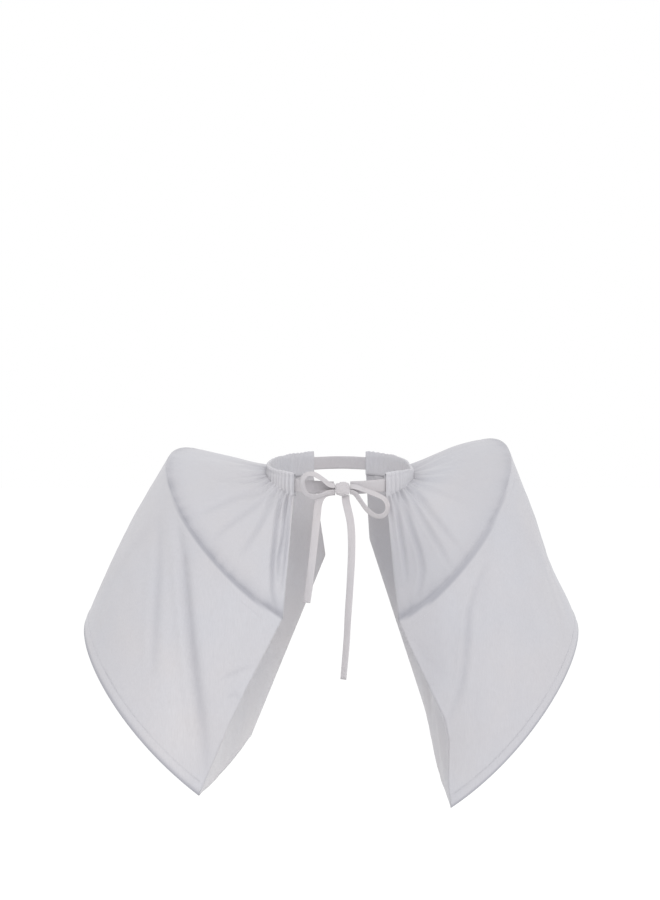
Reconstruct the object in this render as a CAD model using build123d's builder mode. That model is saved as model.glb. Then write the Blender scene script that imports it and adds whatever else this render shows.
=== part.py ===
from build123d import *
from math import acos, cos, pi, radians, sin, tan
import os

# Pannier side hoops: two cloth bags held open by flat steel hoops, threaded on one waist band.
# Origin at the centre of the waist ring, +X to the right as seen from the front,
# +Y to the wearer's back, +Z up. Left and right are as seen from the front.
# All sizes are millimetres and degrees.

# Waist ring, at the middle of the band
waist_width = 243.0
waist_depth = 186.0
waist_pitch = 13.0          # the ring dips at the front
band_height = 22.0
band_thickness = 1.2

# Gathered heading that the band runs through
heading_height = 42.0
heading_wall = 1.1
heading_clearance = 0.8     # beside the band, each face
channel_clearance = 1.5     # above and below the band
front_opening = 150.0       # between the two headings at the front
back_opening = 90.0         # and at the back

# Cloth
cloth = 1.1
seam_gap = 0.4              # between two pieces of cloth that are sewn together
cover_rise = 4.0            # from the middle of the heading up to where the cover leaves it

# Flat steel hoops and the casings sewn inside the cover for them
steel_width = 7.0
steel_thickness = 1.0
steel_clearance = 0.9       # beside the steel, each face
casing_wall = 0.8
tip_clearance = 0.6         # above and below the tips, in the casing
upper_casing_width = 16.0
upper_casing_drop = 2.5     # from the ridge down to the upper casing
upper_casing_gap = 17.0     # from the side seam to the casing's end
hem_casing_width = 18.0
hem_edge = 1.5              # from the hem casing down to the cover's edge
hem_casing_gap = 4.0

# Folded metal tips on the ends of the steels
tip_gap = 5.0               # from the casing's end in to the tip
tip_length = 12.0
tip_wall = 0.6
tip_end = 1.0

# Inner panels, which pass round the hips
hip_width = 304.0
hip_height = -200.0
hip_back = 0.0              # from the middle of the waist back to the middle of the hip
hem_sag = 5.0               # how far the panel's lower edge hangs towards the wearer

# Hoop outline, as shares of its reach and of its half chord: the steel leaves the seam
# spreading outwards, turns, and crosses the far end square to the reach
leave_reach = 0.52
leave_spread = 1.50
turn_spread = 0.80

# For each side: front end, far end and back end of the upper hoop, then of the hem hoop
hoop_points = {
    "left": {
        "upper": ((-95, -150, -236), (-289, 35, 37), (-25, 150, -140)),
        "hem": ((-234, -160, -529), (-427, 38, -236), (-155, 160, -456)),
    },
    "right": {
        "upper": ((96, -150, -239), (287, 15, 45), (52, 150, -112)),
        "hem": ((183, -160, -549), (404, 20, -249), (155, 160, -427)),
    },
}
side_sign = {"left": -1, "right": 1}

# Front edges, which the stretched cloth draws in between the two hoops
edge_pull = {"left": 6.0, "right": 32.0}
edge_straight = 0.08        # share of the panel's length beside each hoop that stays straight
edge_steps = 4              # straight stretches that follow the drawn-in edge

# Bow tied from the band's two ends
tie_width = 13.0
tie_thickness = 1.2
loop_lean = 35.0            # how far the loops' tape leans back from standing on edge
knot_middle = (4.0, -22.5)
knot_width = 25.0
knot_height = 21.0
knot_back = -88.0
knot_front = -113.0
knot_round = 6.0
wrap_width = 11.0
wrap_thickness = 1.4

# Routes of the tape, by hand
loop_routes = {
    "left": [(-8.5, -101, -17), (-17, -101, -17), (-29, -101, -6), (-43, -101, 3), (-58, -101, 3),
             (-65, -101, -11), (-61, -101, -28), (-48, -101, -37), (-32, -101, -34), (-18, -101, -27.5),
             (-8.5, -101, -27.5)],
    "right": [(16.5, -101, -28), (24, -101, -28), (34, -101, -43), (46, -101, -60), (62, -101, -70),
              (76, -101, -66), (81, -101, -52), (75, -101, -39), (62, -101, -32), (42, -101, -25),
              (26, -101, -18), (16.5, -101, -18)],
}
tail_routes = {
    "left": [(-8.5, -93, -27), (-18, -93, -27), (-30, -93, -32), (-37, -95, -46), (-39, -99, -68),
             (-42, -105, -100), (-47, -109, -144), (-53, -112, -192), (-56, -112, -212)],
    "right": [(9, -96, -33), (9, -96, -42), (13, -97, -58), (18, -100, -80), (19.5, -105, -118),
              (17, -110, -172), (13, -112, -228), (10, -113, -286), (5, -113, -340)],
}

waist_plane = Plane.XY.rotated((waist_pitch, 0, 0))
heading_channel_half = band_thickness / 2 + heading_clearance
heading_half = heading_channel_half + heading_wall
channel_width = steel_width + 2 * (tip_wall + tip_clearance)
casing_outer = cloth + seam_gap
channel_outer = casing_outer + casing_wall
steel_outer = channel_outer + steel_clearance
steel_inner = steel_outer + steel_thickness
channel_inner = steel_inner + steel_clearance
casing_inner = channel_inner + casing_wall


def finish(piece, name):
    piece.part.label = name
    export_step(piece.part, f"parts/{name}.step")
    print(f"{name}: {piece.part.volume:.0f} mm3")


def panel_length(side):
    """From the far end of the upper hoop down to the far end of the hem."""
    return (Vector(hoop_points[side]["hem"][1]) - Vector(hoop_points[side]["upper"][1])).length


def level_shares():
    """Shares of the panel's length at which the cloth changes direction, from ridge to hem."""
    step = (1 - 2 * edge_straight) / edge_steps
    return [0, *[edge_straight + step * count for count in range(edge_steps + 1)], 1]


def seam_ends(side, share):
    """Front end, far end and back end of the line at a share of the panel's length."""
    front, far, back = [
        Vector(upper) + (Vector(hem) - Vector(upper)) * share
        for upper, hem in zip(hoop_points[side]["upper"], hoop_points[side]["hem"])
    ]
    if edge_straight < share < 1 - edge_straight:
        pull = edge_pull[side] * sin(pi * (share - edge_straight) / (1 - 2 * edge_straight)) ** 2
        front += Vector(side_sign[side] * pull, 0, 0)
    return front, far, back


def hoop_axes(side, drop):
    """Middle of the seam line, reach and half chord of the line at a distance below the upper hoop."""
    front, far, back = seam_ends(side, drop / panel_length(side))
    middle = (front + back) / 2
    return middle, far - middle, (front - back) / 2


def hoop_strip(side, drop, outer, inner):
    """Hoop-shaped strip at a distance below the upper hoop, between two insets from the cover's face."""
    middle, reach, half_chord = hoop_axes(side, drop)
    plane = Plane(origin=middle, x_dir=reach, z_dir=reach.cross(half_chord))

    def half_hoop(inset, end):
        reach_axis = reach * (1 - inset / reach.length)
        chord_axis = half_chord * (1 - inset / half_chord.length) * end
        shape = [(0, 1), (leave_reach, leave_spread), (1, turn_spread), (1, 0)]
        points = [middle + reach_axis * along + chord_axis * spread for along, spread in shape]
        return [plane.to_local_coords(point) for point in points]

    with BuildSketch(plane) as strip:
        with BuildLine():
            front_outer = Bezier(*half_hoop(outer, 1))
            back_outer = Bezier(*reversed(half_hoop(outer, -1)))
            back_inner = Bezier(*half_hoop(inner, -1))
            front_inner = Bezier(*reversed(half_hoop(inner, 1)))
            Line(back_outer @ 1, back_inner @ 0)
            Line(front_inner @ 1, front_outer @ 0)
        make_face()
    return strip.sketch


def hoop_band(side, drop, width, outer, inner):
    """Two hoop-shaped strips on the lower panel, a width apart, to loft between."""
    return [hoop_strip(side, drop, outer, inner), hoop_strip(side, drop + width, outer, inner)]


def end_plane(side, drop, gap):
    """Plane along the chord, a gap out from the side seams and facing away from them."""
    middle, reach, half_chord = hoop_axes(side, drop)
    outward = (reach - half_chord * (reach.dot(half_chord) / half_chord.dot(half_chord))).normalized()
    return Plane(origin=middle + outward * gap, z_dir=outward)


def waist_strip(side, height, outer, inner):
    """Strip along one side of the waist ring, from its front opening to its back opening."""
    side_angle, to_front = {"left": (pi, 1), "right": (0, -1)}[side]
    front = side_angle + to_front * acos(front_opening / waist_width)
    back = side_angle - to_front * acos(back_opening / waist_width)

    def ring_arc(offset, start, end):
        half_width = waist_width / 2 + offset
        half_depth = waist_depth / 2 + offset
        handle = 4 / 3 * tan((end - start) / 4)

        def on_ring(angle, along):
            x = half_width * (cos(angle) - along * sin(angle))
            return (x, half_depth * (sin(angle) + along * cos(angle)))

        return Bezier(on_ring(start, 0), on_ring(start, handle), on_ring(end, -handle), on_ring(end, 0))

    with BuildSketch(waist_plane.offset(height)) as strip:
        with BuildLine():
            outer_arc = ring_arc(outer, front, back)
            inner_arc = ring_arc(inner, back, front)
            Line(outer_arc @ 1, inner_arc @ 0)
            Line(inner_arc @ 1, outer_arc @ 0)
        make_face()
    return strip.sketch


def seam_strip(front, middle, back, outward):
    """Bowed strip through three points on a panel's outer face, one thickness of cloth deep."""
    upward = (back - front).cross(middle - front)
    if upward.Z < 0:
        upward = -upward
    plane = Plane(origin=front, x_dir=back - front, z_dir=upward)
    crown = middle * 2 - (front + back) / 2
    outline = [plane.to_local_coords(point) for point in (front, crown, back)]
    depth = cloth if plane.y_dir.dot(outward) > 0 else -cloth
    with BuildSketch(plane) as strip:
        with BuildLine():
            outer_bow = Bezier(*outline)
            inner_bow = Bezier(*[point - Vector(0, depth) for point in reversed(outline)])
            Line(outer_bow @ 1, inner_bow @ 0)
            Line(inner_bow @ 1, outer_bow @ 0)
        make_face()
    return strip.sketch


def make_waistband():
    outside = (waist_width + band_thickness) / 2, (waist_depth + band_thickness) / 2
    inside = (waist_width - band_thickness) / 2, (waist_depth - band_thickness) / 2
    with BuildPart() as waistband:
        with BuildSketch(waist_plane.offset(-band_height / 2)):
            Ellipse(*outside)
            Ellipse(*inside, mode=Mode.SUBTRACT)
        extrude(amount=band_height)
        with BuildSketch(Plane.XZ):
            with Locations(knot_middle):
                Rectangle(knot_width, waist_depth)
        extrude(amount=waist_depth, mode=Mode.SUBTRACT)
    finish(waistband, "waistband")


def make_outer_cover(side):
    """Cover from the gathered heading over the upper hoop to the hem, with the band's tunnel at its top."""
    channel_height = band_height + 2 * channel_clearance
    with BuildPart() as cover:
        waist_edge = waist_strip(side, cover_rise, heading_half, heading_half - cloth)
        levels = [hoop_strip(side, panel_length(side) * share, 0, cloth) for share in level_shares()]
        loft([waist_edge, *levels], ruled=True)
        add(waist_strip(side, -heading_height / 2, heading_half, -heading_half))
        extrude(amount=heading_height, dir=waist_plane.z_dir)
        add(waist_strip(side, -channel_height / 2, heading_channel_half, -heading_channel_half))
        extrude(amount=channel_height, dir=waist_plane.z_dir, mode=Mode.SUBTRACT)
    finish(cover, f"{side}_outer_cover")


def make_inner_panel(side):
    """Panel from the heading down round the hip to a lower edge between the ends of the hem hoop."""
    sign = side_sign[side]
    hem = hoop_points[side]["hem"]
    hem_middle = (Vector(hem[0]) + Vector(hem[2])) / 2 - Vector(sign * hem_sag, 0, 0)
    hip_middle = Vector(sign * hip_width / 2, hip_back, hip_height)

    def panel_strip(share):
        front, _, back = seam_ends(side, share)
        inset = (back - front).normalized() * casing_outer
        middle = hip_middle + (hem_middle - hip_middle) * share
        return seam_strip(front + inset, middle, back - inset, Vector(sign, 0, 0))

    with BuildPart() as panel:
        waist_edge = waist_strip(side, -heading_height / 2, cloth - heading_half, -heading_half)
        loft([waist_edge, *[panel_strip(share) for share in level_shares()]], ruled=True)
    finish(panel, f"{side}_inner_panel")


def make_casing(side, name, drop, width, gap):
    channel_drop = drop + (width - channel_width) / 2
    with BuildPart() as casing:
        loft(hoop_band(side, drop, width, casing_outer, casing_inner), ruled=True)
        channel = hoop_band(side, channel_drop, channel_width, channel_outer, channel_inner)
        loft(channel, ruled=True, mode=Mode.SUBTRACT)
        split(bisect_by=end_plane(side, drop, gap), keep=Keep.TOP)
    finish(casing, f"{side}_{name}_casing")


def make_hoop(side, name, drop, gap):
    """Flat steel and its two tips, with the tips' outer ends a gap out from the side seams."""
    with BuildPart() as hoop:
        loft(hoop_band(side, drop, steel_width, steel_outer, steel_inner), ruled=True)
        split(bisect_by=end_plane(side, drop, gap + tip_end), keep=Keep.TOP)
    finish(hoop, f"{side}_{name}_hoop")

    tip_width = steel_width + 2 * tip_wall
    tip_band = hoop_band(side, drop - tip_wall, tip_width, steel_outer - tip_wall, steel_inner + tip_wall)
    for end, near_end in (("front", Axis.Y), ("back", -Axis.Y)):
        with BuildPart() as tip:
            loft(tip_band, ruled=True)
            split(bisect_by=end_plane(side, drop, gap), keep=Keep.TOP)
            split(bisect_by=end_plane(side, drop, gap + tip_length), keep=Keep.BOTTOM)
            add(hoop.part, mode=Mode.SUBTRACT)
            add(tip.solids().sort_by(near_end)[0], mode=Mode.INTERSECT)
        finish(tip, f"{side}_{name}_{end}_tip")


def make_knot():
    with BuildPart() as knot:
        with BuildSketch(Plane.XZ.offset(-knot_back)):
            with Locations(knot_middle):
                Rectangle(knot_width, knot_height)
        extrude(amount=knot_back - knot_front)
        fillet(knot.faces().sort_by(Axis.Y)[0].edges(), knot_round)
        with BuildSketch(Plane.XZ.offset(-knot_back)):
            with Locations(knot_middle):
                Rectangle(wrap_width, knot_height)
        extrude(amount=knot_back - knot_front + wrap_thickness)
        fillet(knot.faces().sort_by(Axis.Y)[0].edges().filter_by(Axis.X), knot_round)
    finish(knot, "bow_knot")


def make_tape(name, route, lean):
    """Flat tape along a route of straight runs joined by arcs as large as the runs allow."""
    points = [Vector(point) for point in route]
    runs = [end - start for start, end in zip(points, points[1:])]
    radii = []
    for before, after in zip(runs, runs[1:]):
        half_turn = radians(before.get_angle(after)) / 2
        radii.append(0.45 * min(before.length, after.length) / tan(half_turn))
    with BuildPart() as tape:
        with BuildLine() as path:
            FilletPolyline(*points, radius=radii)
        across = Vector(0, 1, 0).cross(runs[0])
        with BuildSketch(Plane(origin=points[0], x_dir=across, z_dir=runs[0])):
            Rectangle(tie_width, tie_thickness, rotation=lean)
        sweep(path=path.line)
    finish(tape, name)
    length = path.wires()[0].length
    print(f"  length {length:.0f} mm, section times length {length * tie_width * tie_thickness:.0f} mm3")
    print("  radii", [round(radius) for radius in radii])


os.makedirs("parts", exist_ok=True)
make_waistband()
make_knot()
for side in hoop_points:
    make_outer_cover(side)
    make_inner_panel(side)
    steel_in_casing = (upper_casing_width - steel_width) / 2
    make_casing(side, "upper", upper_casing_drop, upper_casing_width, upper_casing_gap)
    make_hoop(side, "upper", upper_casing_drop + steel_in_casing, upper_casing_gap + tip_gap)
    hem_casing_drop = panel_length(side) - hem_edge - hem_casing_width
    steel_in_hem = (hem_casing_width - steel_width) / 2
    make_casing(side, "hem", hem_casing_drop, hem_casing_width, hem_casing_gap)
    make_hoop(side, "hem", hem_casing_drop + steel_in_hem, hem_casing_gap + tip_gap)
    make_tape(f"bow_{side}_loop", loop_routes[side], 90 - loop_lean)
    make_tape(f"{side}_tail", tail_routes[side], 0)
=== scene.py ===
"""Pannier side hoops: cotton covers over flat steel hoops, on a waist band tied in a bow."""

import math

import bmesh
import bpy
import numpy as np
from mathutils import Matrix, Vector, noise


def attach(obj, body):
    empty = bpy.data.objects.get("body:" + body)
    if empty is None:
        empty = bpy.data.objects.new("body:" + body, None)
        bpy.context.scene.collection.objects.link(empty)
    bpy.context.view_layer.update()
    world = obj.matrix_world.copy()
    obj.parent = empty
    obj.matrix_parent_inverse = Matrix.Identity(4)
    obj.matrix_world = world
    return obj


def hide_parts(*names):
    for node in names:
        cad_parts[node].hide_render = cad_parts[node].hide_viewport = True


bl_info = {
    "name": "Pannier Side Hoops",
    "version": (1, 0, 0),
    "blender": (4, 5, 0),
    "location": "View3D > Sidebar > Panniers",
    "description": "Builds a pair of cloth panniers with their hoops, waist band and bow",
    "category": "Object",
}

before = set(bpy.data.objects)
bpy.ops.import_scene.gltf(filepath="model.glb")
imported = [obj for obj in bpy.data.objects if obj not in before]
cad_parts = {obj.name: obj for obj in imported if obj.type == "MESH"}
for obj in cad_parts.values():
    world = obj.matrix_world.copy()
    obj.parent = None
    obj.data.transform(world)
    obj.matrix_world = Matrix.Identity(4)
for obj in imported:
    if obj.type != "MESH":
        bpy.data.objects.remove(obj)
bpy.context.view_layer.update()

MM = 0.001
BODY = "root"

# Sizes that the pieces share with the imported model, in millimetres
WAIST_WIDTH = 243.0
WAIST_DEPTH = 186.0
WAIST_PITCH = math.radians(13.0)
BAND_HEIGHT = 22.0
BAND_THICKNESS = 1.2
FRONT_OPENING = 150.0
BACK_OPENING = 90.0
SEAM_INSET = 1.5
HIP_HALF = 152.0
HIP_HEIGHT = -200.0
HEM_SAG = 5.0
UPPER_CASING = (2.5, 16.0, 17.0)        # drop below the ridge, width, gap from the seams
HEM_CASING = (1.5, 18.0, 4.0)           # height above the edge, width, gap from the seams
TIE_WIDTH = 13.0
KNOT_MIDDLE = (4.0, -100.5, -22.5)
KNOT_HALF = (12.5, 12.0, 10.5)

# Front edges, drawn in between the hoops: levels from ridge to hem, and how far outwards in mm
EDGE_PULL = {
    "left": ((0, 0.15, 0.4, 0.6, 0.85, 1), (0, 2, 5, 5, 2, 0)),
    "right": ((0, 0.18, 0.31, 0.42, 0.53, 0.64, 0.75, 0.88, 1), (0, 9, 17, 24, 31, 28, 18, 6, 0)),
}

HOOP_SHAPE = ((0.0, 1.0), (0.52, 1.5), (1.0, 0.8), (1.0, 0.0))
HOOP_POINTS = {
    "left": (
        ((-95, -150, -236), (-289, 35, 37), (-25, 150, -140)),
        ((-234, -160, -529), (-427, 38, -236), (-155, 160, -456)),
    ),
    "right": (
        ((96, -150, -239), (287, 15, 45), (52, 150, -112)),
        ((183, -160, -549), (404, 20, -249), (155, 160, -427)),
    ),
}
SIDE_SIGN = {"left": -1.0, "right": 1.0}

LOOP_ROUTES = {
    "left": [(-8.5, -101, -17), (-17, -101, -17), (-29, -101, -6), (-43, -101, 3), (-58, -101, 3),
             (-65, -101, -11), (-61, -101, -28), (-48, -101, -37), (-32, -101, -34), (-18, -101, -27.5),
             (-8.5, -101, -27.5)],
    "right": [(16.5, -101, -28), (24, -101, -28), (34, -101, -43), (46, -101, -60), (62, -101, -70),
              (76, -101, -66), (81, -101, -52), (75, -101, -39), (62, -101, -32), (42, -101, -25),
              (26, -101, -18), (16.5, -101, -18)],
}
TAIL_ROUTES = {
    "left": [(-8.5, -93, -27), (-18, -93, -27), (-30, -93, -32), (-37, -95, -46), (-39, -99, -68),
             (-42, -105, -100), (-47, -109, -144), (-53, -112, -192), (-56, -112, -212)],
    "right": [(9, -96, -33), (9, -96, -42), (13, -97, -58), (18, -100, -80), (19.5, -105, -118),
              (17, -110, -172), (13, -112, -228), (10, -113, -286), (5, -113, -340)],
}

# Folds of the outer covers as seen from the front: points along the fold (X, Z in mm), half
# width, depth, how much the cloth stands up beside it, share of painted shade and how far the
# shade spreads towards -X and towards +X
COVER_FOLDS = {
    "left": (
        (((-272, -48), (-262, -129), (-257, -189), (-248, -272), (-241, -332), (-233, -387),
          (-225, -442), (-223, -500)), 8.0, 6.8, 3.6, 0.30, 3.5, 15.0),
        (((-302, -70), (-302, -141), (-305, -201), (-308, -267), (-309, -330)),
         8.0, 3.0, 1.2, 0.20, 6.0, 7.0),
        (((-196, -336), (-171, -324), (-146, -314)), 4.0, 1.8, 0.9, 0.15, 3.0, 4.0),
        (((-190, -368), (-174, -360), (-158, -376)), 4.0, 1.6, 0.8, 0.15, 3.0, 4.0),
    ),
    "right": (
        (((243, -148), (224, -189), (213, -222), (210, -266), (207, -310), (200, -348),
          (190, -376), (176, -410)), 6.0, 3.6, 2.2, 0.20, 5.0, 3.5),
        (((262, -40), (246, -120), (236, -230)), 14.0, 1.8, 0.8, 0.05, 8.0, 8.0),
        (((118, -262), (140, -300), (168, -330)), 9.0, 1.2, 0.6, 0.05, 6.0, 6.0),
    ),
}

# Pleats that run out of the headings, in the same form
PLEATS = {
    "left": (
        (((-99, -28), (-107, -80), (-110, -113), (-113, -151), (-112, -190), (-104, -226)),
         3.6, 3.2, 1.8, 0.50, 3.4, 3.8),
        (((-89, -34), (-96, -102), (-102, -135), (-103, -172)), 3.2, 2.8, 1.6, 0.58, 3.0, 3.4),
        (((-84, -34), (-88, -90), (-92, -140), (-96, -190)), 2.6, 1.8, 1.2, 0.45, 2.4, 2.6),
        (((-110, -30), (-117, -47), (-134, -83), (-150, -110), (-164, -131)),
         4.6, 2.4, 1.1, 0.20, 4.0, 4.5),
        (((-118, -32), (-156, -61), (-189, -85), (-210, -106)), 5.0, 2.0, 0.9, 0.16, 4.5, 4.5),
        (((-122, -24), (-174, -37), (-206, -52), (-236, -64)), 5.5, 1.7, 0.8, 0.13, 5.0, 5.0),
        (((-124, -12), (-180, -11), (-215, -4)), 6.0, 1.3, 0.6, 0.08, 5.0, 5.0),
    ),
    "right": (
        (((90, -22), (94, -39), (100, -86), (107, -129), (111, -176)),
         3.8, 2.4, 1.3, 0.24, 4.0, 4.0),
        (((98, -24), (106, -44), (119, -85), (134, -129), (138, -156), (130, -196)),
         4.2, 2.9, 1.5, 0.28, 4.5, 4.5),
        (((112, -24), (123, -44), (139, -74), (152, -96), (168, -123), (182, -150)),
         4.4, 2.6, 1.3, 0.22, 4.5, 4.5),
        (((124, -22), (134, -39), (156, -69), (177, -96), (198, -120)),
         5.0, 2.0, 0.9, 0.16, 5.0, 5.0),
        (((134, -14), (172, -34), (208, -50)), 6.0, 1.3, 0.6, 0.08, 5.0, 5.0),
    ),
}

# Folds at the side and the back: share of the way round, half width, depth in mm, share of painted shade
BACK_FOLDS = (
    (0.37, 0.016, 1.5, 0.05), (0.455, 0.014, 1.2, 0.06), (0.55, 0.018, 2.6, 0.14),
    (0.655, 0.014, 4.6, 0.2), (0.77, 0.018, 5.6, 0.22), (0.89, 0.013, 4.4, 0.18),
)

# Pleats at the back of the headings: share, half width, depth and length in mm
BACK_PLEATS = (
    (0.97, 0.006, 2.2, 130), (0.945, 0.007, 2.6, 150), (0.915, 0.009, 2.4, 120),
    (0.88, 0.010, 2.2, 110), (0.84, 0.011, 2.0, 90), (0.79, 0.012, 1.7, 80),
    (0.73, 0.014, 1.4, 70), (0.66, 0.016, 1.1, 60),
)

# Soft folds of the inner panels: share across, half width, depth in mm, lean down the panel
PANEL_FOLDS = ((0.12, 0.03, 2.0, 0.06), (0.33, 0.05, 3.0, -0.05), (0.62, 0.04, 2.4, 0.04))

# Crease above the ridge, by share of the way from the front end (0) to the far end (0.5) and
# back: how dark its painted shade is, and how far below the hoop line its sharp lower edge lies, in mm
CREASE_SHARES = (0.0, 0.1, 0.25, 0.38, 0.5, 0.62, 0.75, 0.9, 1.0)
CREASE_SHADE = {
    "left": (0.85, 0.78, 0.72, 0.55, 0.15, 0.45, 0.6, 0.65, 0.7),
    "right": (0.80, 0.72, 0.50, 0.34, 0.20, 0.40, 0.55, 0.65, 0.7),
}
CREASE_FALL = {
    "left": (3.0, 8.0, 8.0, 4.0, 0.0, 2.0, 4.0, 4.0, 2.0),
    "right": (4.0, 12.0, 12.0, 5.0, 0.0, 2.0, 4.0, 4.0, 2.0),
}

# Painted shade and painted light on the front: middle (X, Z), half sizes and share of shade;
# a negative share paints light. The base share darkens the whole front, the right one more
FRONT_PAINTED_SHADE = {
    "left": (((-272, -400), (40, 110), -0.15), ((-392, -250), (30, 90), 0.06),
             ((-210, -130), (60, 60), 0.03)),
    "right": (((115, -140), (52, 95), 0.27), ((150, -300), (45, 70), 0.14),
              ((200, -60), (60, 50), 0.05), ((195, -520), (45, 60), -0.05),
              ((158, -50), (48, 55), -0.24)),
}
BASE_PAINTED_SHADE = {"left": 0.15, "right": 0.27}

# How the two sides differ, in millimetres unless the comment says otherwise
GATHER_SEED = {"left": 3, "right": 8}
HEADING_DIP = {"left": 0.06, "right": 0.42}     # share of its height that the top loses at the side
LEAVE_RISE = {"left": 24.0, "right": 19.0}      # how much higher the cloth leaves the waist there
UPPER_SWELL = {"left": (1.0, 1.1), "right": (8.0, 1.4)}     # height, and its lean to the ridge
SIDE_BULGE = {"left": 7.0, "right": 0.0}
SIDE_HOLLOW = {"left": 0.0, "right": 6.0}
EDGE_SHADE_WIDTH = {"left": 5.4, "right": 3.6}
# Painted shade on the inner panels: share over the whole panel, and extra beside the front seam
PANEL_PAINTED_SHADE = {"left": (0.05, 0.06), "right": (0.28, 0.22)}  # share of shade: even, beside the seam
TAIL_TWIST = {"left": (0.35, 0.15, 1.0), "right": (0.9, 0.25, 0.8)}     # radians, start, power

# Headings, in millimetres above the band's middle and outwards from the waist ring
INNER_HEADING = np.linspace(-19.5, 12.0, 8)
HEADING_EDGE = ((20.6, -1.5), (21.4, -0.3), (21.3, 0.6), (20.4, 1.7))   # height, way out
OUTER_HEADING = (19.5, 14)          # height of its first row, number of rows
INNER_LAYER = -1.9
OUTER_LAYER = 2.9
CINCH_HEIGHT = 13.2                 # rows of running stitches above and below the band
LEAVE_HEIGHT = -19.0                # where the cloth leaves the waist at the front and back ends

# Outer covers below their headings
COVER_COLUMNS = 252
UPPER_ROWS = 78
LOWER_LEVELS = np.concatenate([np.linspace(0, 0.9, 66)[1:], np.linspace(0.9, 1.0, 20)[1:]])
HEM_TURN = ((0.9, 0.0), (1.1, -0.7), (1.2, -2.9))       # way in, way down
UPPER_INSIDE = (190.0, 0.0, -170.0)     # point inside the right cover, high up
LOWER_INSIDE = (270.0, 0.0, -320.0)     # point inside the right cover, low down
UPPER_STITCHES = 18.8                   # below the ridge
HEM_STITCHES = 19.6                     # above the edge
COVER_GIRTH = 850.0                     # about the hem's length from seam to seam

# Inner panels
PANEL_COLUMNS = 120
PANEL_ROWS = 90
PANEL_GATHERS = (30, 12)            # count and seed
BEYOND_PANEL = (400.0, 0.0, -300.0)     # point on the right panel's outer side
HIP_SHARE = 0.40                    # share of the rows that lies above the hip line
PANEL_HEADING = (-1.4, -19.8)       # way out and height of the upper edge
PANEL_FALL = 480.0                  # length given to all rows for the gathers
PANEL_HEM_FALL = 330.0              # length given to all rows for the lines beside the hem
SEWN_SHARE = 0.22                   # share of the width that follows the cover's edges

# Casing's outline: share of its width, and way in from the cover's line
CASING_PROFILE = (
    (0.0, 1.5), (0.0, 2.1), (0.14, 2.3), (0.22, 2.7), (0.26, 5.2), (0.32, 6.0), (0.5, 6.2),
    (0.68, 6.0), (0.74, 5.2), (0.78, 2.7), (0.86, 2.3), (1.0, 2.1), (1.0, 1.5), (0.76, 1.6),
    (0.5, 1.6), (0.24, 1.6), (0.0, 1.5),
)
CASING_COLUMNS = 260

# Tape's upper face: share of the half width, and share of the thickness
TAPE_FACE = (
    (-1.0, 0.0), (-0.97, 0.42), (-0.9, 0.5), (-0.6, 0.44), (-0.3, 0.42), (0.0, 0.42),
    (0.3, 0.42), (0.6, 0.44), (0.9, 0.5), (0.97, 0.42), (1.0, 0.0),
)

# Stitches
STITCH_LENGTH = 2.8
STITCH_GAP = 1.3
STITCH_HALF_WIDTH = 0.38
STITCH_SINK = 0.35
STITCH_SIDES = 6

# Stage, in metres
CAMERA_PLACE = (-0.017, -5.8, 0.0425)
CAMERA_LENS = 136.48
CAMERA_SENSOR = 36.0
CAMERA_REACH = 100.0
FLOOR_HALF = 90.0
FLOOR_COLOUR = (0.93, 0.93, 0.93, 1)
FLOOR_GLOW = 0.10
LIGHT_AIM = (0.0, 0.0, -0.2)
LIGHTS = (("Key", (1.0, -4.2, 2.0), 1.6, 1.0), ("Back fill", (-1.5, 3.6, 2.0), 2.0, 0.35))

# Colours of the pieces that have no setting
CASING_COLOUR = (0.5, 0.495, 0.5)
STEEL_COLOUR = (0.42, 0.43, 0.45)
TIP_COLOUR = (0.6, 0.61, 0.63)
STITCH_COLOURS = ((0.44, 0.44, 0.47, 1), (0.58, 0.58, 0.6, 1))
WHITE = (1, 1, 1, 1)


class PannierClothSettings(bpy.types.PropertyGroup):
    cover_colour: bpy.props.FloatVectorProperty(
        name="Cover colour", description="Colour of the outer cotton", subtype="COLOR",
        size=3, min=0, max=1, default=(0.585, 0.578, 0.607))
    panel_colour: bpy.props.FloatVectorProperty(
        name="Panel colour", description="Colour of the cotton against the hips", subtype="COLOR",
        size=3, min=0, max=1, default=(0.585, 0.572, 0.592))
    # Colour of painted shade: the cloth is mixed towards it in creases, folds, gather hollows, above the
    # ridges and at the hems' edges
    painted_shade: bpy.props.FloatVectorProperty(
        name="Painted shade", description="Colour of the cloth in its creases and over the casings",
        subtype="COLOR", size=3, min=0, max=1, default=(0.345, 0.345, 0.38))
    cloth_thickness: bpy.props.FloatProperty(
        name="Cloth thickness", description="Thickness of the cotton", default=0.0009,
        min=0.0003, max=0.002, unit="LENGTH")
    gather_count: bpy.props.IntProperty(
        name="Gathers", description="Gathers in one heading", default=30, min=8, max=60)
    gather_depth: bpy.props.FloatProperty(
        name="Gather depth", description="Depth of a gather beside the band", default=0.0016,
        min=0, max=0.004, unit="LENGTH")
    fold_strength: bpy.props.FloatProperty(
        name="Fold strength", description="Share of the soft folds' full depth", default=1.0,
        min=0, max=2)


class PannierBowSettings(bpy.types.PropertyGroup):
    tape_colour: bpy.props.FloatVectorProperty(
        name="Tape colour", description="Colour of the woven tape", subtype="COLOR",
        size=3, min=0, max=1, default=(0.575, 0.552, 0.572))
    tape_thickness: bpy.props.FloatProperty(
        name="Tape thickness", description="Thickness of the tape", default=0.0011,
        min=0.0005, max=0.002, unit="LENGTH")
    loop_lean: bpy.props.FloatProperty(
        name="Loop lean", description="How far the loops lean back from standing on edge",
        default=math.radians(35), min=0, max=math.radians(80), unit="ROTATION")


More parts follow.
